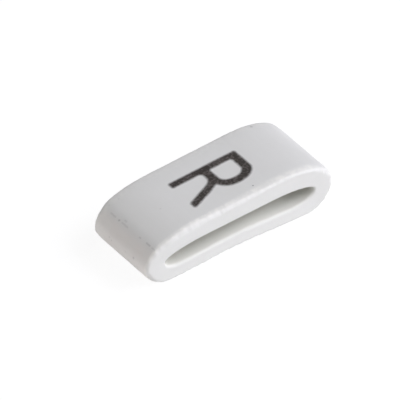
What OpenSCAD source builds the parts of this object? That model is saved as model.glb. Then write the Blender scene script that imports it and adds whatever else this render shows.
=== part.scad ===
// Slide-on cable marker: a short slice of a flattened soft tube.
// The cable runs along Y through the flat oval opening, and the legend side faces +Z.
// The marker lies on the XY plane, centred on the Z axis.

/* [Cable opening] */
// Width of the opening, tip to tip
opening_w = 7.1; // [6.4:0.1:12]
// Height of the opening at its middle, before the floor's hump
opening_h = 0.79; // [0.5:0.01:2]
// Width of the level ceiling between its two shoulders
ceiling_flat = 3.2; // [1:0.1:5]
// Width of the floor between its two end curves
floor_flat = 5.3; // [3:0.1:5.4]
// Distance of that floor's middle from the sleeve's, towards the -X tip
floor_shift = 0.3; // [0:0.05:0.4]
// Rise of the ceiling from the middle of the sleeve to its +X tip
ceiling_rise = 0.12; // [0:0.01:0.3]

/* [Wall] */
// Thickness of the top wall at its middle, which carries the legend
top_wall = 0.85; // [0.5:0.01:1.2]
// Thickness of the bottom wall
base_wall = 0.71; // [0.5:0.01:1.2]
// Thickness of the wall at the two tips
tip_wall = 0.95; // [0.5:0.01:1.2]

/* [Outside] */
// Width of the level top between its two shoulders
top_flat = 3.9; // [1:0.1:6]
// Width of the underside between its two end curves
base_flat = 6.5; // [3:0.1:6.8]
// Rise of the top face from the middle of the sleeve to its +X tip
top_rise = 0.18; // [0:0.01:0.3]
// Lift of the underside and the floor at their middle
base_hollow = 0.12; // [0:0.01:0.2]

/* [Cut ends] */
// Length of the sleeve along the cable
sleeve_l = 3.65; // [2:0.05:10]
// Radius of the outer edge at each cut end
outer_edge_r = 0.18; // [0.02:0.01:0.2]
// Radius of the edge round each mouth of the opening
mouth_edge_r = 0.14; // [0.02:0.01:0.2]

/* [Hidden] */
section_w = opening_w + 2 * tip_wall;
section_h = base_wall + opening_h + top_wall;
quarter_steps = 16;
flat_steps = 12;
edge_steps = 4;

// Height of a face that leans up towards +X, by its rise at the sleeve's tip.
function lean_at(x, height, rise) = height + rise * x / (section_w / 2);

// Lift of the underside, a raised cosine across its width.
function hollow_at(x) =
    abs(x) < base_flat / 2 ? base_hollow * (1 + cos(360 * x / base_flat)) / 2 : 0;

// One half of an outline from its +X tip to its -X tip, as [x, share of the half height]:
// a quarter ellipse, a level run and another quarter ellipse. The far tip starts the next half.
// The run's middle lies shift from the outline's, towards +X.
function half_outline(w, flat, shift) =
    let (run_start = shift + flat / 2, run_end = shift - flat / 2)
    concat(
        [for (i = [0:quarter_steps - 1])
            let (a = 90 * i / quarter_steps) [run_start + (w / 2 - run_start) * cos(a), sin(a)]],
        [for (i = [0:flat_steps - 1]) [run_start - flat * i / flat_steps, 1]],
        [for (i = [0:quarter_steps - 1])
            let (a = 90 * i / quarter_steps) [run_end - (w / 2 + run_end) * sin(a), cos(a)]]
    );

// A closed outline of [x, z] points, counter-clockwise seen from -Y. Its top leans by rise and is
// height above the ground at its middle, and its bottom lies lift above the underside. The bottom's
// run is moved by lower_shift towards -X.
function outline(w, upper_flat, lower_flat, lower_shift, height, rise, lift) = concat(
    [for (p = half_outline(w, upper_flat, 0))
        let (top = lean_at(p.x, height, rise), middle = (top + lift) / 2)
        [p.x, middle + (top - middle) * p.y]],
    [for (p = half_outline(w, lower_flat, lower_shift))
        let (x = -p.x, middle = (lean_at(x, height, rise) + lift) / 2)
        [x, middle - (middle - lift) * p.y + hollow_at(x)]]
);

// The outline moved along its own normals, inwards where by is positive.
function inset(loop, by) = [
    for (i = [0:len(loop) - 1])
        let (
            before = loop[(i + len(loop) - 1) % len(loop)],
            after = loop[(i + 1) % len(loop)],
            along = (after - before) / norm(after - before)
        )
        loop[i] + by * [-along.y, along.x]
];

// Rings of points that roll an edge of radius r from the side of the tube onto a cut end.
// The end is +1 or -1 along Y, and into is +1 for the outer edge and -1 for a mouth.
function edge_rings(loop, r, end, into) = [
    for (i = [0:edge_steps])
        let (a = 90 * i / edge_steps, y = end * (sleeve_l / 2 - r * (1 - sin(a))))
        [for (p = inset(loop, into * r * (1 - cos(a)))) [p.x, y, p.y]]
];

function reversed(list) = [for (i = [len(list) - 1:-1:0]) list[i]];

// A closed skin over rings of equal length, where the last ring joins the first.
module ring_skin(rings) {
    count = len(rings);
    sides = len(rings[0]);
    polyhedron(
        points = [for (ring = rings, p = ring) p],
        faces = [
            for (r = [0:count - 1], s = [0:sides - 1])
                let (r2 = (r + 1) % count, s2 = (s + 1) % sides)
                for (face = [
                    [r * sides + s, r * sides + s2, r2 * sides + s2],
                    [r * sides + s, r2 * sides + s2, r2 * sides + s]
                ]) face
        ]
    );
}

// The whole marker in one skin: outer wall, rear cut end, cable opening and front cut end.
module marker_sleeve() {
    ceiling_h = section_h - top_wall;
    outer = outline(section_w, top_flat, base_flat, 0, section_h, top_rise, 0);
    opening = outline(
        opening_w, ceiling_flat, floor_flat, floor_shift, ceiling_h, ceiling_rise, base_wall
    );
    color("whitesmoke")
        ring_skin(concat(
            edge_rings(outer, outer_edge_r, 1, 1),
            reversed(edge_rings(opening, mouth_edge_r, 1, -1)),
            edge_rings(opening, mouth_edge_r, -1, -1),
            reversed(edge_rings(outer, outer_edge_r, -1, 1))
        ));
}

marker_sleeve();
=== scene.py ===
import math

import bpy
from mathutils import Matrix, Vector


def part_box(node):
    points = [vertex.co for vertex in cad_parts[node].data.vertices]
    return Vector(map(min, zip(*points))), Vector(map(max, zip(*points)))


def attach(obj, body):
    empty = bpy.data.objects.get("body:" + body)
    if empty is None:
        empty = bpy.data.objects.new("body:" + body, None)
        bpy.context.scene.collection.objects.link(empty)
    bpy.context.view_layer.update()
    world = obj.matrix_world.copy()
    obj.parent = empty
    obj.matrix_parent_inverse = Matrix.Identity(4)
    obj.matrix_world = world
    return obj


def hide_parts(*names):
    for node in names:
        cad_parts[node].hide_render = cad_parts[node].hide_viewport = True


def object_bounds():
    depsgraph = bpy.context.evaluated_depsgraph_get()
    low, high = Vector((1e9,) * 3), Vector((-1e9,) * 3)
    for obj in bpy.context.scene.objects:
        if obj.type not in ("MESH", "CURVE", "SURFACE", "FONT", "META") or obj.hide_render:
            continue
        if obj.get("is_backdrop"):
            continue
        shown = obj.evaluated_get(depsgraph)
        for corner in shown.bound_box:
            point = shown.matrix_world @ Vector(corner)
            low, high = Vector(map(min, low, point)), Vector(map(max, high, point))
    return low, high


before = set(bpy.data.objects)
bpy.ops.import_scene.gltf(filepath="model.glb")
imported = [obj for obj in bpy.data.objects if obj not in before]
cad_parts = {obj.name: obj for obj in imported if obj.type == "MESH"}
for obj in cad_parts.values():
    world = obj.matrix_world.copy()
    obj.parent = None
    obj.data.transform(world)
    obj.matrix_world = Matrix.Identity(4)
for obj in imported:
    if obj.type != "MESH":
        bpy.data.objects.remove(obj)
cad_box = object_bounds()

# The sleeve: one slice of a flattened tube of soft white PVC, extruded, then cut square with a blade.
# It is the whole marker. The cable runs through its flat opening along Y and is gripped by the wall.
# Its section is two quarter ellipses and a run, above and below, with a lean on top and a hollow under it.
MM = 0.001
sleeve_low, sleeve_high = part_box("marker_sleeve")
SLEEVE_L = sleeve_high.y - sleeve_low.y
SECTION_W = sleeve_high.x - sleeve_low.x
SECTION_H = 2.35 * MM
TOP_RISE = 0.18 * MM

# Points round the section, in half of it, and in each quarter ellipse above and below. The last value is
# the share of the way round over which a normal is taken.
AROUND = 480
HALF = AROUND // 2
UPPER_QUARTER = 72
LOWER_QUARTER = 42
NORMAL_STEP = 0.2 / AROUND


class Wire:
    """A node's output that takes part in Python arithmetic: each operation adds a Math node."""

    def __init__(self, graph, socket):
        self.graph = graph
        self.socket = socket

    def math(self, operation, *others):
        return self.graph.math(operation, self, *others)

    def __add__(self, other):
        return self.math("ADD", other)

    __radd__ = __add__

    def __mul__(self, other):
        return self.math("MULTIPLY", other)

    __rmul__ = __mul__

    def __sub__(self, other):
        return self.math("SUBTRACT", other)

    def __rsub__(self, other):
        return self.graph.math("SUBTRACT", other, self)

    def __truediv__(self, other):
        return self.math("DIVIDE", other)

    def clamped(self):
        return self.math("MAXIMUM", 0.0).math("MINIMUM", 1.0)

    def smooth(self, low, high):
        """0 below low, 1 above high and an S between them; low above high turns it round."""
        return self.graph.node(
            "ShaderNodeMapRange",
            {"interpolation_type": "SMOOTHSTEP"},
            {"Value": self, "From Min": low, "From Max": high},
        )


class Graph:
    """A node tree that is written as expressions."""

    def __init__(self, tree):
        self.tree = tree

    def node(self, kind, settings=None, sockets=None, output=0):
        """Adds one node, with its settings first and then its sockets' values or links."""
        made = self.tree.nodes.new(kind)
        for name, value in (settings or {}).items():
            setattr(made, name, value)
        for name, value in (sockets or {}).items():
            if isinstance(value, Wire):
                self.tree.links.new(value.socket, made.inputs[name])
            else:
                made.inputs[name].default_value = value
        return Wire(self, made.outputs[output])

    def math(self, operation, *values):
        return self.node("ShaderNodeMath", {"operation": operation}, dict(enumerate(values)))

    def vector(self, x, y, z):
        return self.node("ShaderNodeCombineXYZ", None, {"X": x, "Y": y, "Z": z})

    def vector_math(self, operation, *values, output="Vector"):
        return self.node("ShaderNodeVectorMath", {"operation": operation}, dict(enumerate(values)), output)


# The section's outline, in the sleeve's own tree.
class Outline:
    """A closed outline of the section, given by share, which runs from 0 at the +X tip over the top."""

    def __init__(self, sizes, width, upper_flat, lower_flat, lower_shift, height, rise, lift):
        self.sizes = sizes
        self.width = width
        self.flats = upper_flat, lower_flat
        self.lower_shift = lower_shift
        self.height = height
        self.rise = rise
        self.lift = lift

    def point(self, share):
        """x and z at a share of the way round."""
        sizes = self.sizes
        doubled = share.math("FRACT") * 2
        lower = doubled.math("FLOOR")
        half = doubled - lower
        side = 1 - lower * 2
        upper_flat, lower_flat = self.flats
        flat = upper_flat + (lower_flat - upper_flat) * lower
        quarter = UPPER_QUARTER / HALF + lower * ((LOWER_QUARTER - UPPER_QUARTER) / HALF)
        first_turn = (half / quarter).clamped()
        last_turn = ((half - 1 + quarter) / quarter).clamped()
        run = ((half - quarter) / (1 - quarter * 2)).clamped()
        first_angle, last_angle = first_turn * (math.pi / 2), last_turn * (math.pi / 2)
        shift = lower * self.lower_shift
        tip = (self.width - flat) * 0.5
        x = side * (
            shift
            + flat * (0.5 - run)
            + (tip - shift) * first_angle.math("COSINE")
            - (tip + shift) * last_angle.math("SINE")
        )
        top = self.height + self.rise * x / (sizes["Width"] * 0.5)
        middle = (top + self.lift) * 0.5
        across = (x / sizes["Base flat"]).math("MAXIMUM", -0.5).math("MINIMUM", 0.5)
        hollow = sizes["Base hollow"] * 0.5 * (1 + (across * (2 * math.pi)).math("COSINE"))
        height_share = (first_angle + last_angle).math("SINE")
        z = middle + side * (top - middle) * height_share + lower * hollow
        return x, z

    def inset(self, share, by):
        """The point moved by a distance along the outline's inward normal."""
        x, z = self.point(share)
        x0, z0 = self.point(share - NORMAL_STEP)
        x1, z1 = self.point(share + NORMAL_STEP)
        along_x, along_z = x1 - x0, z1 - z0
        length = (along_x * along_x + along_z * along_z).math("SQRT")
        return x - by * along_z / length, z + by * along_x / length


def named_tree(name, sizes):
    """A Geometry Nodes tree with one named float input for each size, and its inputs' identifiers."""
    tree = bpy.data.node_groups.new(name, "GeometryNodeTree")
    identifiers = {}
    for label in sizes:
        socket = tree.interface.new_socket(label, in_out="INPUT", socket_type="NodeSocketFloat")
        identifiers[label] = socket.identifier
    tree.interface.new_socket("Geometry", in_out="OUTPUT", socket_type="NodeSocketGeometry")
    return tree, identifiers


def stored(graph, geometry, label, value, data_type="FLOAT"):
    """The geometry with a value kept on its points under that name."""
    return graph.node(
        "GeometryNodeStoreNamedAttribute",
        {"data_type": data_type, "domain": "POINT"},
        {"Geometry": geometry, "Name": label, "Value": value},
    )


def named(graph, label, data_type="FLOAT"):
    return graph.node("GeometryNodeInputNamedAttribute", {"data_type": data_type}, {"Name": label})


def share_of(graph, points, label):
    """A closed curve of that many points, on which the named attribute runs from 0 to 1."""
    curve = graph.node("GeometryNodeCurvePrimitiveCircle", {"mode": "RADIUS"}, {"Resolution": points})
    return stored(graph, curve, label, graph.node("GeometryNodeSplineParameter"))


sleeve_sizes = {
    "Length": SLEEVE_L,
    "Width": SECTION_W,
    "Height": SECTION_H,
    "Top rise": TOP_RISE,
    "Top flat": 3.9 * MM,
    "Base flat": 6.5 * MM,
    "Base hollow": 0.12 * MM,
    "Top wall": 0.8 * MM,
    "Base wall": 0.71 * MM,
    "Tip wall": 0.92 * MM,
    "Ceiling flat": 3.2 * MM,
    "Ceiling rise": 0.12 * MM,
    "Floor flat": 5.3 * MM,
    "Floor shift": 0.3 * MM,
    "Front reach": 0.33 * MM,
    "Front crisp reach": 0.48 * MM,
    "Front round": 0.2 * MM,
    "Front crisp round": 0.12 * MM,
    "Rear reach": 0.62 * MM,
    "Rear round": 0.16 * MM,
    "Edge tilt": 0.13,
    "Mouth edge": 0.12 * MM,
    "Mouth upper edge": 0.05 * MM,
    "Front raggedness": 0.95,
    "Rear raggedness": 0.3,
    "Front left wear": -0.4,
    "Front right wear": 0.15,
    "Rear left wear": 1.1,
    "Seed": 4.0,
}
sleeve_tree, sleeve_inputs = named_tree("sleeve_skin", sleeve_sizes)
skin = Graph(sleeve_tree)
group_input = sleeve_tree.nodes.new("NodeGroupInput")
size = {label: Wire(skin, group_input.outputs[label]) for label in sleeve_sizes}

# Points across the wall: along the outside, over the rear cut, back through the opening, over the front.
wall_steps = {
    "outside": 52,
    "rear_edge": 14,
    "rear_cut": 12,
    "rear_mouth": 8,
    "opening": 36,
    "front_mouth": 8,
    "front_cut": 12,
    "front_edge": 14,
}
across_points = sum(wall_steps.values())
ring = skin.node(
    "GeometryNodeCurveToMesh",
    None,
    {"Curve": share_of(skin, AROUND, "around"), "Profile Curve": share_of(skin, across_points, "across")},
)
around, across = named(skin, "around"), named(skin, "across")
starts = {}
stretch = {}
first = 0
for label, steps in wall_steps.items():
    starts[label] = first
    stretch[label] = ((across * across_points - first) / steps).clamped()
    first += steps
opening_middle = starts["opening"] + wall_steps["opening"] / 2

outside = Outline(
    size, size["Width"], size["Top flat"], size["Base flat"], 0.0, size["Height"], size["Top rise"], 0.0
)
opening = Outline(
    size,
    size["Width"] - size["Tip wall"] * 2,
    size["Ceiling flat"],
    size["Floor flat"],
    size["Floor shift"],
    size["Height"] - size["Top wall"],
    size["Ceiling rise"],
    size["Base wall"],
)

# The raggedness that the blade leaves: its features to the metre, the fineness of its detail, how far apart
# the edges' patterns lie, and the least share of a roll that is left.
RAGGED_SCALE = 4600.0
RAGGED_DETAIL = 3.0
PATTERNS_APART = 0.05
LEAST_ROLL = 0.25
EDGE_PATTERNS = {"front_edge": -1.0, "rear_edge": 1.0, "front_mouth": -2.0, "rear_mouth": 2.0}


def wander(outline, edge, most):
    """A share that wanders about 1 along a cut edge, by most either way, and differently on each edge."""
    x, z = outline.point(around)
    place = skin.vector(x, EDGE_PATTERNS[edge] * PATTERNS_APART + size["Seed"], z)
    noise = skin.node(
        "ShaderNodeTexNoise", None, {"Vector": place, "Scale": RAGGED_SCALE, "Detail": RAGGED_DETAIL}
    )
    return (1 + most * (noise - 0.5) * 2).math("MAXIMUM", LEAST_ROLL)


def turned(share):
    """How far a quarter-round mouth edge has turned in from the side, from 0 to 1."""
    return 1 - (share * (math.pi / 2)).math("COSINE")


def come_out(share):
    """How far a quarter-round mouth edge has come out towards the cut, from 0 to 1."""
    return (share * (math.pi / 2)).math("SINE")


# The outer edge falls away on a slow lead first, then turns over a tighter round into the cut.
LEAD_SHARE = 0.4


def edge_roll(share, reach, edge_round):
    """How far an outer edge has come out and dropped, at a share of its way to the cut."""
    tilt = size["Edge tilt"]
    lead = (share / LEAD_SHARE).clamped()
    angle = tilt + ((share - LEAD_SHARE) / (1 - LEAD_SHARE)).clamped() * (math.pi / 2 - tilt)
    lead_length = reach - edge_round * (1 - tilt.math("SINE"))
    out = lead_length * lead + edge_round * (angle.math("SINE") - tilt.math("SINE"))
    drop = lead_length * 0.5 * tilt.math("TANGENT") * lead * lead
    return out, drop + edge_round * (tilt.math("COSINE") - angle.math("COSINE"))


# Where the edges change, each given as where a change starts and where it is whole, by x or z on the
# section: the worn tips, the crisp stretch of the front edge, and the heights at which they come in.
LEFT_TIP_X = (-3.7 * MM, -4.45 * MM)
RIGHT_TIP_X = (3.7 * MM, 4.3 * MM)
RIGHT_TIP_Z = (1.35 * MM, 1.9 * MM)
FRONT_WEAR_Z = (0.6 * MM, 1.2 * MM)
REAR_WEAR_Z = (0.5 * MM, 1.1 * MM)
CRISP_START_X = (-3.0 * MM, 3.0 * MM)
CRISP_END_X = (4.2 * MM, 3.5 * MM)
CRISP_Z = (1.2 * MM, 1.9 * MM)
RAGGED_Z = (0.4 * MM, 1.2 * MM)
RAGGED_BELOW = 0.5
UPPER_MOUTH_Z = (0.8 * MM, 1.5 * MM)

# The blade leaves the front edge ragged, most of all on top. Wear above 0 makes an edge's roll larger, and
# wear below 0 makes it smaller. The crisp stretch, on top towards +X, turns over a tighter round.
outside_x, outside_z = outside.point(around)
left_tip = outside_x.smooth(*LEFT_TIP_X)
right_tip = outside_x.smooth(*RIGHT_TIP_X) * outside_z.smooth(*RIGHT_TIP_Z)
front_left_wear = size["Front left wear"] * left_tip * outside_z.smooth(*FRONT_WEAR_Z)
front_wear = 1 + size["Front right wear"] * right_tip + front_left_wear
rear_wear = 1 + size["Rear left wear"] * left_tip * outside_z.smooth(*REAR_WEAR_Z)
front_ragged = size["Front raggedness"] * (
    RAGGED_BELOW + (1 - RAGGED_BELOW) * outside_z.smooth(*RAGGED_Z)
)
crisp = outside_x.smooth(*CRISP_START_X) * outside_x.smooth(*CRISP_END_X) * outside_z.smooth(*CRISP_Z)
front_round = wander(outside, "front_edge", front_ragged) * (
    size["Front round"] + (size["Front crisp round"] - size["Front round"]) * crisp
)
front_lead = size["Front reach"] + (size["Front crisp reach"] - size["Front reach"]) * crisp
rear_round = size["Rear round"] * wander(outside, "rear_edge", size["Rear raggedness"])
opening_z = opening.point(around)[1]
mouth_edge = size["Mouth edge"] + (
    (size["Mouth upper edge"] - size["Mouth edge"]) * opening_z.smooth(*UPPER_MOUTH_Z)
)
front_mouth, rear_mouth = (
    mouth_edge * wander(opening, edge, size["Rear raggedness"]) for edge in ("front_mouth", "rear_mouth")
)
front_out, front_drop = edge_roll(1 - stretch["front_edge"], front_lead, front_round)
rear_out, rear_drop = edge_roll(stretch["rear_edge"], size["Rear reach"], rear_round)
front_half = across.math("GREATER_THAN", opening_middle / across_points)
outer_inset = rear_wear * rear_drop * (1 - front_half) + front_wear * front_drop * front_half
mouth_inset = rear_mouth * turned(1 - stretch["rear_mouth"]) * (1 - front_half) + (
    front_mouth * turned(stretch["front_mouth"]) * front_half
)
outer_x, outer_z = outside.inset(around, outer_inset)
inner_x, inner_z = opening.inset(around, 0.0 - mouth_inset)
through_wall = stretch["rear_cut"] - stretch["front_cut"]
front_reach, rear_reach = front_wear * front_lead, rear_wear * size["Rear reach"]
along_y = (
    front_reach
    - size["Length"] * 0.5
    + (size["Length"] - front_reach - rear_reach) * stretch["outside"]
    + rear_wear * rear_out
    - rear_mouth * turned(stretch["rear_mouth"])
    - (size["Length"] - front_mouth - rear_mouth) * stretch["opening"]
    - front_mouth * come_out(stretch["front_mouth"])
    + front_reach
    - front_wear * front_out
)
placed = skin.node(
    "GeometryNodeSetPosition",
    None,
    {
        "Geometry": ring,
        "Position": skin.vector(
            outer_x + (inner_x - outer_x) * through_wall,
            along_y,
            outer_z + (inner_z - outer_z) * through_wall,
        ),
    },
)

# Rolled goes from 0 on the outside to 1 on the cuts and in the opening, and bore is 1 in the opening.
marks_of = {
    "rolled": stretch["rear_edge"] * (1 - stretch["front_edge"]),
    "bore": stretch["rear_mouth"] * (1 - stretch["front_mouth"]),
}
for label, share in marks_of.items():
    placed = stored(skin, placed, label, share)
smoothed = skin.node("GeometryNodeSetShadeSmooth", None, {"Geometry": placed})

# White PVC: nearly neutral, faintly mottled, with drawing lines along the tube. The blade leaves a pale
# burr on the edges, whitened further as a painted highlight. Handling has left specks and a scuffed line.
# The -X tip has a warm tint, the opening a painted warm interreflection, and the -X shoulder a painted
# shade.
pvc = bpy.data.materials.new("white_pvc")
pvc.use_nodes = True
pvc.node_tree.nodes.clear()
paint = Graph(pvc.node_tree)
place = paint.node("ShaderNodeTexCoord", None, None, "Object")
spot_x, spot_y, spot_z = (
    paint.node("ShaderNodeSeparateXYZ", None, {"Vector": place}, axis) for axis in "XYZ"
)


def grain(graph, vector, scale, detail=3.0):
    """Noise about 0, from -0.5 to 0.5, with that many features to the metre."""
    noise = graph.node("ShaderNodeTexNoise", None, {"Vector": vector, "Scale": scale, "Detail": detail})
    return noise - 0.5


def blend(graph, share, first_colour, second_colour, blend_type="MIX"):
    """Two colours mixed by a share from 0 to 1."""
    return graph.node(
        "ShaderNodeMix",
        {"data_type": "RGBA", "blend_type": blend_type, "clamp_factor": True},
        {"Factor": share, 6: first_colour, 7: second_colour},
        2,
    )


rolled, bore = (
    paint.node("ShaderNodeAttribute", {"attribute_name": label}, None, "Fac") for label in marks_of
)

# Features to the metre of the mottle, the clouds, the finest grain, the drawing lines and the beads of the
# burr and its painted highlight, and how much the lines are drawn out along the tube.
MOTTLE_SCALE = 420.0
CLOUD_SCALE = 2600.0
FINE_SCALE = 16000.0
LINE_SCALE = 5000.0
BEAD_SCALE = 5200.0
DRAWN_OUT = (1.0, 0.04, 1.0)
cut = rolled - bore
drawn = paint.node("ShaderNodeMapping", None, {"Vector": place, "Scale": DRAWN_OUT})
mottle = grain(paint, place, MOTTLE_SCALE, 2.0)
cloud = grain(paint, place, CLOUD_SCALE)
fine = grain(paint, place, FINE_SCALE, 2.0)
lines = grain(paint, drawn, LINE_SCALE, 2.0) * (1 - cut)
beads = grain(paint, place, BEAD_SCALE, 2.0).smooth(-0.12, 0.2)

# The burr, whitened further as a painted highlight, rises and falls across the roll. It is broken up into
# beads, ends short of the +X tip and is weaker at the rear.
BURR_HIGHLIGHT_RISE = (0.02, 0.34)
BURR_HIGHLIGHT_FALL = (0.76, 0.46)
BURR_HIGHLIGHT_BETWEEN_BEADS = 0.4
BURR_HIGHLIGHT_END_X = (4.2 * MM, 3.4 * MM)
BURR_HIGHLIGHT_FRONT_Y = (0.5 * MM, -0.5 * MM)
REAR_BURR_HIGHLIGHT = 0.45
beaded = BURR_HIGHLIGHT_BETWEEN_BEADS + beads * (1 - BURR_HIGHLIGHT_BETWEEN_BEADS)
burr_highlight_spread = spot_x.smooth(*BURR_HIGHLIGHT_END_X) * (REAR_BURR_HIGHLIGHT + (1 - REAR_BURR_HIGHLIGHT) * spot_y.smooth(*BURR_HIGHLIGHT_FRONT_Y))
burr_and_highlight = rolled.smooth(*BURR_HIGHLIGHT_RISE) * rolled.smooth(*BURR_HIGHLIGHT_FALL) * beaded * burr_highlight_spread

# A patchy warm tint comes in towards the -X tip, on the outside and in the opening.
WARM_TIP_X = (-3.8 * MM, -4.25 * MM)
tip_warmth = spot_x.smooth(*WARM_TIP_X) * (1 - cut) * (0.8 + mottle + cloud * 0.6)

# Each mark: its middle on the surface, half its length along the tube and its radius in millimetres,
# and how dark it is. The first is a speck beside the legend, and the long ones are the scuffed line.
MARKS = (
    ((0.93, -1.37, 2.39), 0.0, 0.05, 0.75),
    ((3.05, 1.57, 2.34), 0.0, 0.09, 0.3),
    ((-2.63, -0.19, 2.20), 0.0, 0.06, 0.12),
    ((-3.43, 1.44, 2.01), 0.0, 0.06, 0.1),
    ((-3.84, 1.52, 1.84), 0.0, 0.06, 0.1),
    ((-3.99, 1.03, 1.75), 0.15, 0.06, 0.14),
    ((-4.00, 0.64, 1.75), 0.0, 0.07, 0.32),
    ((-3.87, 0.38, 1.82), 0.04, 0.07, 0.14),
    ((-3.99, 0.27, 1.75), 0.17, 0.06, 0.14),
    ((-3.98, -0.69, 1.76), 0.03, 0.06, 0.16),
    ((-3.97, -1.21, 1.77), 0.1, 0.06, 0.22),
    ((-3.97, -1.54, 1.76), 0.09, 0.05, 0.14),
    ((-4.49, 0.61, 1.17), 0.0, 0.07, 0.14),
    ((-4.50, 0.46, 1.11), 0.0, 0.05, 0.28),
    ((-4.50, -0.45, 1.15), 0.0, 0.06, 0.1),
    ((-4.49, -0.96, 1.18), 0.0, 0.08, 0.24),
)

# How far a mark's edge is frayed, and the share of its radius inside which it is darkest.
MARK_FRAY = 0.04 * MM
MARK_CORE = 0.2
dirt = 0.0
for middle, half_length, radius, depth in MARKS:
    away = paint.vector_math("ABSOLUTE", paint.vector_math("SUBTRACT", place, Vector(middle) * MM))
    beyond = paint.vector_math("SUBTRACT", away, (0.0, half_length * MM, 0.0))
    gap = paint.vector_math("LENGTH", paint.vector_math("MAXIMUM", beyond, (0.0, 0.0, 0.0)), output="Value")
    dirt = (gap + fine * MARK_FRAY).smooth(radius * MM, MARK_CORE * radius * MM) * depth + dirt

# Painted shade: a faint soft grey band darkens the -X shoulder along the scuffed line.
SHOULDER_SHADE_X = -3.97 * MM
SHOULDER_SHADE_Z = 1.76 * MM
SHOULDER_SHADE_REACH = 0.42 * MM
aside_x, aside_z = spot_x - SHOULDER_SHADE_X, spot_z - SHOULDER_SHADE_Z
painted_shoulder_shade = (aside_x * aside_x + aside_z * aside_z).math("SQRT").smooth(SHOULDER_SHADE_REACH, 0.0) * (1 - cut)

# The whites and the speck are mixed in, and the tints are multiplied in.
DULL_WHITE = (0.785, 0.787, 0.757, 1.0)
CLEAN_WHITE = (0.81, 0.81, 0.785, 1.0)
BURR_AND_HIGHLIGHT_WHITE = (0.93, 0.927, 0.878, 1.0)
SPECK_BLACK = (0.10, 0.09, 0.095, 1.0)
LINE_TINT = (0.88, 0.88, 0.88, 1.0)
BORE_BOUNCE_TINT = (1.0, 1.0, 0.965, 1.0)
WARM_TIP_TINT = (1.0, 0.955, 0.94, 1.0)
SHOULDER_SHADE_TINT = (0.92, 0.92, 0.92, 1.0)
white = blend(paint, 0.5 + mottle * 1.2 + cloud * 0.8 + fine * 0.5, DULL_WHITE, CLEAN_WHITE)
lined = blend(paint, 0.15 + lines * 0.25 + fine * 0.1, white, LINE_TINT, "MULTIPLY")
# The opening is tinted yellower: a painted warm interreflection.
inside = blend(paint, bore, lined, BORE_BOUNCE_TINT, "MULTIPLY")
# The pale burr and the painted highlight on the edges are mixed in.
burr_highlighted = blend(paint, burr_and_highlight * 0.9, inside, BURR_AND_HIGHLIGHT_WHITE)
tip_warmed = blend(paint, tip_warmth, burr_highlighted, WARM_TIP_TINT, "MULTIPLY")
# The painted shade on the -X shoulder is multiplied in.
shoulder_shaded = blend(paint, painted_shoulder_shade, tip_warmed, SHOULDER_SHADE_TINT, "MULTIPLY")
specked = blend(paint, dirt, shoulder_shaded, SPECK_BLACK)
relief = paint.node(
    "ShaderNodeBump",
    None,
    {"Strength": 0.35, "Distance": 0.01 * MM, "Height": cloud * 0.6 + fine * 0.4 + lines * 0.5},
)
surface = paint.node(
    "ShaderNodeBsdfPrincipled",
    None,
    {
        "Base Color": specked,
        "Roughness": 0.54 + mottle * 0.1 + cut * 0.1,
        "IOR": 1.53,
        "Normal": relief,
    },
)
pvc_output = pvc.node_tree.nodes.new("ShaderNodeOutputMaterial")
pvc.node_tree.links.new(surface.socket, pvc_output.inputs["Surface"])

finished = skin.node(
    "GeometryNodeSetMaterial",
    None,
    {"Geometry": skin.node("GeometryNodeRealizeInstances", None, {"Geometry": smoothed}), "Material": pvc},
)
group_output = sleeve_tree.nodes.new("NodeGroupOutput")
sleeve_tree.links.new(finished.socket, group_output.inputs["Geometry"])


def drawn_piece(name, tree, inputs, sizes):
    """The tree's result as an object of that name with a plain mesh and no empty material slot."""
    piece = bpy.data.objects.new(name, bpy.data.meshes.new(name))
    bpy.context.scene.collection.objects.link(piece)
    drawing = piece.modifiers.new(tree.name, "NODES")
    drawing.node_group = tree
    for label, value in sizes.items():
        drawing[inputs[label]] = value
    depsgraph = bpy.context.evaluated_depsgraph_get()
    mesh = bpy.data.meshes.new_from_object(
        piece.evaluated_get(depsgraph), preserve_all_data_layers=True, depsgraph=depsgraph
    )
    piece.modifiers.remove(drawing)
    for index in reversed(range(len(mesh.materials))):
        if mesh.materials[index] is None:
            mesh.materials.pop(index=index)
    piece.data = mesh
    return piece


sleeve = drawn_piece("sleeve_tube", sleeve_tree, sleeve_inputs, sleeve_sizes)
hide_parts("marker_sleeve")
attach(sleeve, "root")

# The legend: one plain capital letter in black marking ink, printed on the level part of the top.
# It reads along the cable, with its foot towards -X. The film of ink is thin and grainy, and it
# bleeds a little at its edge: it is laid along two closed curves, the outside and the counter.

# Its strokes are in millimetres, u to its right and v up from the middle of its height. Pairs are a
# stroke's two sides. ROUND is how far a handle reaches for a curve to turn like a circle.
CAP = 1.6
STEM = (-0.74, -0.41)
BAR_UNDER = 1.20
WAIST = (0.17, -0.23)
BOWL_TURN = 0.30
BOWL_RIGHT = 0.89
COUNTER_TURN = 0.17
COUNTER_RIGHT = 0.52
NOTCH = (0.42, -0.13)
LEG_ROOT = -0.10
LEG_KNEE = (0.28, 0.66)
LEG_KNEE_V = -0.60
LEG_FOOT = (0.70, 1.06)
END_ROUND = 0.085
LEG_TOE_ROUND = 0.135
CROTCH_ROUND = 0.09
LEG_CROTCH_ROUND = 0.17
ROUND = 0.5523


def bend(u, v, before, after):
    """A smooth point, with its two handles given as steps from it."""
    return Vector((u, v)), Vector(before), Vector(after), 0.0


def corner(u, v, turn, before=(0.0, 0.0), after=(0.0, 0.0)):
    """A corner that is rounded from that far before it to that far after it."""
    return Vector((u, v)), Vector(before), Vector(after), turn


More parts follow.
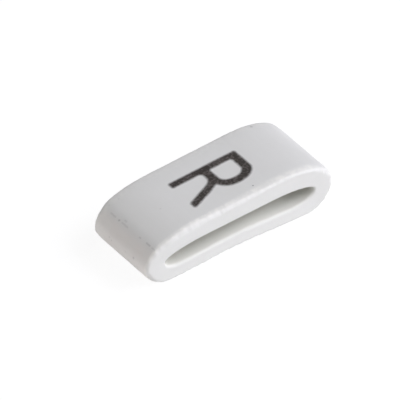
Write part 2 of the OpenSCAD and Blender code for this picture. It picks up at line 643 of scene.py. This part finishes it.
def eased(points):
    """The closed outline's points and handles, with each corner turned by a small curve."""
    curved = []
    for index, (spot, before, after, turn) in enumerate(points):
        if not turn:
            curved.append((spot, spot + before, spot + after))
            continue
        last, following = points[index - 1], points[(index + 1) % len(points)]
        to_last = before if before.length else last[0] + last[2] - spot
        to_next = after if after.length else following[0] + following[1] - spot
        first_end, second_end = (way.normalized() * turn for way in (to_last, to_next))
        from_last = before if before.length else first_end
        on_to_next = after if after.length else second_end
        curved.append((spot + first_end, spot + from_last, spot + first_end * (1 - ROUND)))
        curved.append((spot + second_end, spot + second_end * (1 - ROUND), spot + on_to_next))
    return curved


bowl_middle = (CAP + WAIST[1]) / 2
bowl_a = (BOWL_RIGHT - BOWL_TURN) * ROUND
bowl_b = (CAP - bowl_middle) * ROUND
counter_middle = (BAR_UNDER + WAIST[0]) / 2
counter_a = (COUNTER_RIGHT - COUNTER_TURN) * ROUND
counter_b = (BAR_UNDER - counter_middle) * ROUND
letter_outside = (
    corner(STEM[0], -CAP, END_ROUND),
    corner(STEM[0], CAP, END_ROUND),
    bend(BOWL_TURN, CAP, (-0.2, 0.0), (bowl_a, 0.0)),
    bend(BOWL_RIGHT, bowl_middle, (0.0, bowl_b), (0.0, -bowl_b)),
    corner(*NOTCH, CROTCH_ROUND, (0.22, 0.12), (0.07, -0.13)),
    bend(LEG_KNEE[1], LEG_KNEE_V, (-0.06, 0.14), (0.10, -0.25)),
    corner(LEG_FOOT[1], -CAP, LEG_TOE_ROUND),
    corner(LEG_FOOT[0], -CAP, END_ROUND),
    bend(LEG_KNEE[0], LEG_KNEE_V, (0.10, -0.25), (-0.08, 0.19)),
    bend(LEG_ROOT, WAIST[1], (0.20, 0.0), (-0.04, 0.0)),
    corner(STEM[1], WAIST[1], LEG_CROTCH_ROUND),
    corner(STEM[1], -CAP, END_ROUND),
)
letter_counter = (
    bend(COUNTER_TURN, WAIST[0], (-0.1, 0.0), (counter_a, 0.0)),
    bend(COUNTER_RIGHT, counter_middle, (0.0, -counter_b), (0.0, counter_b)),
    bend(COUNTER_TURN, BAR_UNDER, (counter_a, 0.0), (-0.1, 0.0)),
    corner(STEM[1], BAR_UNDER, CROTCH_ROUND),
    corner(STEM[1], WAIST[0], CROTCH_ROUND),
)
letter_curve = bpy.data.curves.new("letter_strokes", "CURVE")
letter_curve.dimensions = "3D"
letter_curve.resolution_u = 12
for points in (eased(letter_outside), eased(letter_counter)):
    stroke = letter_curve.splines.new("BEZIER")
    stroke.bezier_points.add(len(points) - 1)
    stroke.use_cyclic_u = True
    for made, (spot, before, after) in zip(stroke.bezier_points, points):
        made.co = (spot * MM).to_3d()
        made.handle_left = (before * MM).to_3d()
        made.handle_right = (after * MM).to_3d()
letter_draft = bpy.data.objects.new("letter_strokes", letter_curve)
bpy.context.scene.collection.objects.link(letter_draft)

# The ink's side of both curves lies to the right as they run. Depth goes from 0 at the outer edge of
# the bleed to 1 where the film is whole. About half of the bleed lies outside the curves.
letter_sizes = {"Bleed": 0.16 * MM, "Bleed outside": 0.083 * MM, "Film": 0.01 * MM, "Step": 0.025 * MM}
BLEED_POINTS = 7
SEAM_GAP = 0.001 * MM
letter_tree, letter_inputs = named_tree("letter_film", letter_sizes)
lay = Graph(letter_tree)
letter_input = letter_tree.nodes.new("NodeGroupInput")
bleed, bleed_outside, film_height, letter_step = (
    Wire(lay, letter_input.outputs[label]) for label in letter_sizes
)
strokes = lay.node("GeometryNodeObjectInfo", None, {"Object": letter_draft}, "Geometry")
walked = lay.node(
    "GeometryNodeResampleCurve", {"mode": "LENGTH"}, {"Curve": strokes, "Length": letter_step}
)
inward = lay.vector_math("CROSS_PRODUCT", lay.node("GeometryNodeInputTangent"), (0.0, 0.0, 1.0))
walked = stored(lay, walked, "seat", lay.node("GeometryNodeInputPosition"), "FLOAT_VECTOR")
walked = stored(lay, walked, "inward", inward, "FLOAT_VECTOR")


def across_bleed(depth):
    """The place at that depth, on the level of the film's underside."""
    step = lay.node(
        "ShaderNodeVectorMath",
        {"operation": "SCALE"},
        {0: named(lay, "inward", "FLOAT_VECTOR"), "Scale": bleed * depth - bleed_outside},
    )
    return lay.vector_math("ADD", named(lay, "seat", "FLOAT_VECTOR"), step)


def film_face(depth):
    """The curves moved to that depth and filled, at that share of the film's height."""
    outline = lay.node(
        "GeometryNodeSetPosition", None, {"Geometry": walked, "Position": across_bleed(depth)}
    )
    filled = lay.node("GeometryNodeFillCurve", {"mode": "TRIANGLES"}, {"Curve": outline})
    raised = lay.node(
        "GeometryNodeSetPosition",
        None,
        {"Geometry": filled, "Offset": lay.vector(0.0, 0.0, film_height * depth)},
    )
    return stored(lay, raised, "depth", depth)


line = lay.node(
    "GeometryNodeResampleCurve",
    {"mode": "COUNT"},
    {"Curve": lay.node("GeometryNodeCurvePrimitiveLine"), "Count": BLEED_POINTS},
)
line = stored(lay, line, "depth", lay.node("GeometryNodeSplineParameter"))
band = lay.node("GeometryNodeCurveToMesh", None, {"Curve": walked, "Profile Curve": line})
depth = named(lay, "depth")
band = lay.node(
    "GeometryNodeSetPosition",
    None,
    {
        "Geometry": band,
        "Position": lay.vector_math(
            "ADD",
            across_bleed(depth),
            lay.vector(0.0, 0.0, film_height * (depth * depth * (3 - depth * 2))),
        ),
    },
)
underside = lay.node("GeometryNodeFlipFaces", None, {"Mesh": film_face(0.0)})
joined = letter_tree.nodes.new("GeometryNodeJoinGeometry")
for part in (film_face(1.0), band, underside):
    letter_tree.links.new(part.socket, joined.inputs["Geometry"])
sealed = lay.node(
    "GeometryNodeMergeByDistance",
    None,
    {"Geometry": Wire(lay, joined.outputs["Geometry"]), "Distance": SEAM_GAP},
)

# Marking ink: dark and faintly brown, patchy, with pale pinholes, and thinning out through the bleed to the
# white of the sleeve.
INK_BLACK = (0.047, 0.04, 0.036, 1.0)
THIN_INK = (0.2, 0.183, 0.17, 1.0)
BARE_WHITE = (0.797, 0.798, 0.771, 1.0)
PINHOLE_SCALE = 9500.0
PATCH_SCALE = 2600.0
ink = bpy.data.materials.new("legend_ink")
ink.use_nodes = True
ink.node_tree.nodes.clear()
film = Graph(ink.node_tree)
on_film = film.node("ShaderNodeTexCoord", None, None, "Object")
pinholes = grain(film, on_film, PINHOLE_SCALE, 2.0).smooth(-0.1, 0.22)
patches = grain(film, on_film, PATCH_SCALE, 2.0)
whole = film.node("ShaderNodeAttribute", {"attribute_name": "depth"}, None, "Fac")
cover = (whole + patches * 0.3 - pinholes * 0.06).smooth(0.02, 0.98)
black = blend(film, pinholes * 0.6 + patches * 1.3, INK_BLACK, THIN_INK)
inked = blend(film, cover, BARE_WHITE, black)
ink_relief = film.node(
    "ShaderNodeBump", None, {"Strength": 0.3, "Distance": 0.006 * MM, "Height": 1 - pinholes}
)
ink_surface = film.node(
    "ShaderNodeBsdfPrincipled",
    None,
    {"Base Color": inked, "Roughness": 0.5 + pinholes * 0.15, "IOR": 1.5, "Normal": ink_relief},
)
ink_output = ink.node_tree.nodes.new("ShaderNodeOutputMaterial")
ink.node_tree.links.new(ink_surface.socket, ink_output.inputs["Surface"])

printed = lay.node(
    "GeometryNodeSetMaterial",
    None,
    {"Geometry": lay.node("GeometryNodeRealizeInstances", None, {"Geometry": sealed}), "Material": ink},
)
letter_output = letter_tree.nodes.new("NodeGroupOutput")
letter_tree.links.new(printed.socket, letter_output.inputs["Geometry"])
letter = drawn_piece("legend_letter", letter_tree, letter_inputs, letter_sizes)
bpy.data.objects.remove(letter_draft)

# The film lies on the leaning top, sunk into it by a hair so that no gap shows.
FILM_SUNK = 0.001 * MM
lean = TOP_RISE / (SECTION_W / 2)
letter_right = Vector((0.0, -1.0, 0.0))
letter_up = Vector((1.0, 0.0, lean)).normalized()
letter_out = letter_right.cross(letter_up)
laid = Matrix((letter_right, letter_up, letter_out)).transposed().to_4x4()
laid.translation = Vector((0.0, 0.0, SECTION_H)) - letter_out * FILM_SUNK
letter.data.transform(laid)
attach(letter, "root")

# The floor: a plain white table that the marker lies on. It looks white to the camera and in reflections,
# with a faint soft shadow of the marker, and lights the marker as a pale matt surface would.
FLOOR_REACH = 1.0
TABLE_WHITE = (0.85, 0.85, 0.85, 1.0)
SHADOW_GREY = (0.16, 0.16, 0.16, 1.0)
TABLE_GLOW = 0.9
floor = bpy.data.objects.new("floor", bpy.data.meshes.new("floor"))
sides = ((-1, -1), (1, -1), (1, 1), (-1, 1))
floor_corners = [(u * FLOOR_REACH, v * FLOOR_REACH, 0.0) for u, v in sides]
floor.data.from_pydata(floor_corners, [], [(0, 1, 2, 3)])
bpy.context.scene.collection.objects.link(floor)
table = bpy.data.materials.new("white_table")
table.use_nodes = True
table.node_tree.nodes.clear()
top = Graph(table.node_tree)
rays = table.node_tree.nodes.new("ShaderNodeLightPath")
seen = Wire(top, rays.outputs["Is Camera Ray"])
for label in ("Is Glossy Ray", "Is Transmission Ray"):
    seen = seen.math("MAXIMUM", Wire(top, rays.outputs[label]))
shaded = top.node("ShaderNodeBsdfDiffuse", None, {"Color": TABLE_WHITE})
faint = top.node("ShaderNodeBsdfDiffuse", None, {"Color": SHADOW_GREY})
glow = top.node("ShaderNodeEmission", None, {"Color": (1.0, 1.0, 1.0, 1.0), "Strength": TABLE_GLOW})
bright = top.node("ShaderNodeAddShader", None, {0: faint, 1: glow})
table_surface = top.node("ShaderNodeMixShader", None, {0: seen, 1: shaded, 2: bright})
table_output = table.node_tree.nodes.new("ShaderNodeOutputMaterial")
table.node_tree.links.new(table_surface.socket, table_output.inputs["Surface"])
floor.data.materials.append(table)
floor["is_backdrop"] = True

# The light: large square soft lamps in a dim pale room. The cool ones come from the right and the front, a
# low one lights the front cut and the opening, and two weaker ones come from the left.
ROOM_LEVEL = 0.02
LAMP_DISTANCE = 0.45
LAMP_WIDTH = 0.3
COOL_WHITE = (0.986, 0.984, 1.062)
NEUTRAL_WHITE = (1.012, 0.999, 0.998)
world = bpy.data.worlds.new("room")
bpy.context.scene.world = world
world.use_nodes = True
room = world.node_tree.nodes["Background"]
room.inputs["Color"].default_value = (1.0, 1.0, 1.0, 1.0)
room.inputs["Strength"].default_value = ROOM_LEVEL


def lamp(name, azimuth, elevation, level, colour):
    """A square soft lamp aimed at the marker, which adds that level on a surface that faces it."""
    light = bpy.data.lights.new(name, "AREA")
    light.size = LAMP_WIDTH
    light.energy = level * math.pi**2 * LAMP_DISTANCE**2
    light.color = colour
    holder = bpy.data.objects.new(name, light)
    turn, rise = math.radians(azimuth), math.radians(elevation)
    towards = Vector((math.cos(turn) * math.cos(rise), math.sin(turn) * math.cos(rise), math.sin(rise)))
    holder.location = towards * LAMP_DISTANCE
    holder.rotation_euler = towards.to_track_quat("Z", "Y").to_euler()
    bpy.context.scene.collection.objects.link(holder)


lamp("right_lamp", -23.0, 38.0, 0.585, COOL_WHITE)
lamp("right_front_lamp", -45.0, 38.0, 0.27, COOL_WHITE)
lamp("high_front_lamp", -68.0, 55.0, 0.15, COOL_WHITE)
lamp("low_front_lamp", -60.0, 3.0, 0.455, NEUTRAL_WHITE)
lamp("left_lamp", 180.0, 38.0, 0.245, NEUTRAL_WHITE)
lamp("low_left_lamp", 176.0, 12.0, 0.235, NEUTRAL_WHITE)

# The camera: a long lens from the front left, above the marker, so that its lines stay nearly parallel.
# It is aimed just left of the marker's middle, and VIEW_WIDTH is what it takes in there.
CAMERA_AZIMUTH = math.radians(36.6)
CAMERA_ELEVATION = math.radians(39.9)
CAMERA_DISTANCE = 0.4
VIEW_WIDTH = 15.487 * MM
AIM_RIGHT = -0.479 * MM
AIM_UP = 0.923 * MM
back = Vector(
    (
        -math.sin(CAMERA_AZIMUTH) * math.cos(CAMERA_ELEVATION),
        -math.cos(CAMERA_AZIMUTH) * math.cos(CAMERA_ELEVATION),
        math.sin(CAMERA_ELEVATION),
    )
)
right = Vector((math.cos(CAMERA_AZIMUTH), -math.sin(CAMERA_AZIMUTH), 0.0))
up = back.cross(right)
camera = bpy.data.objects.new("camera", bpy.data.cameras.new("camera"))
camera.data.lens = camera.data.sensor_width * CAMERA_DISTANCE / VIEW_WIDTH
camera.data.clip_start = 0.01
camera.data.clip_end = 5.0
camera.location = right * AIM_RIGHT + up * AIM_UP + back * CAMERA_DISTANCE
camera.rotation_euler = back.to_track_quat("Z", "Y").to_euler()
bpy.context.scene.collection.objects.link(camera)
bpy.context.scene.camera = camera
bpy.context.scene.view_settings.view_transform = "Standard"

boxes = {"cad": cad_box, "visual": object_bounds()}
{label: [list(corner) for corner in box] for label, box in boxes.items()}
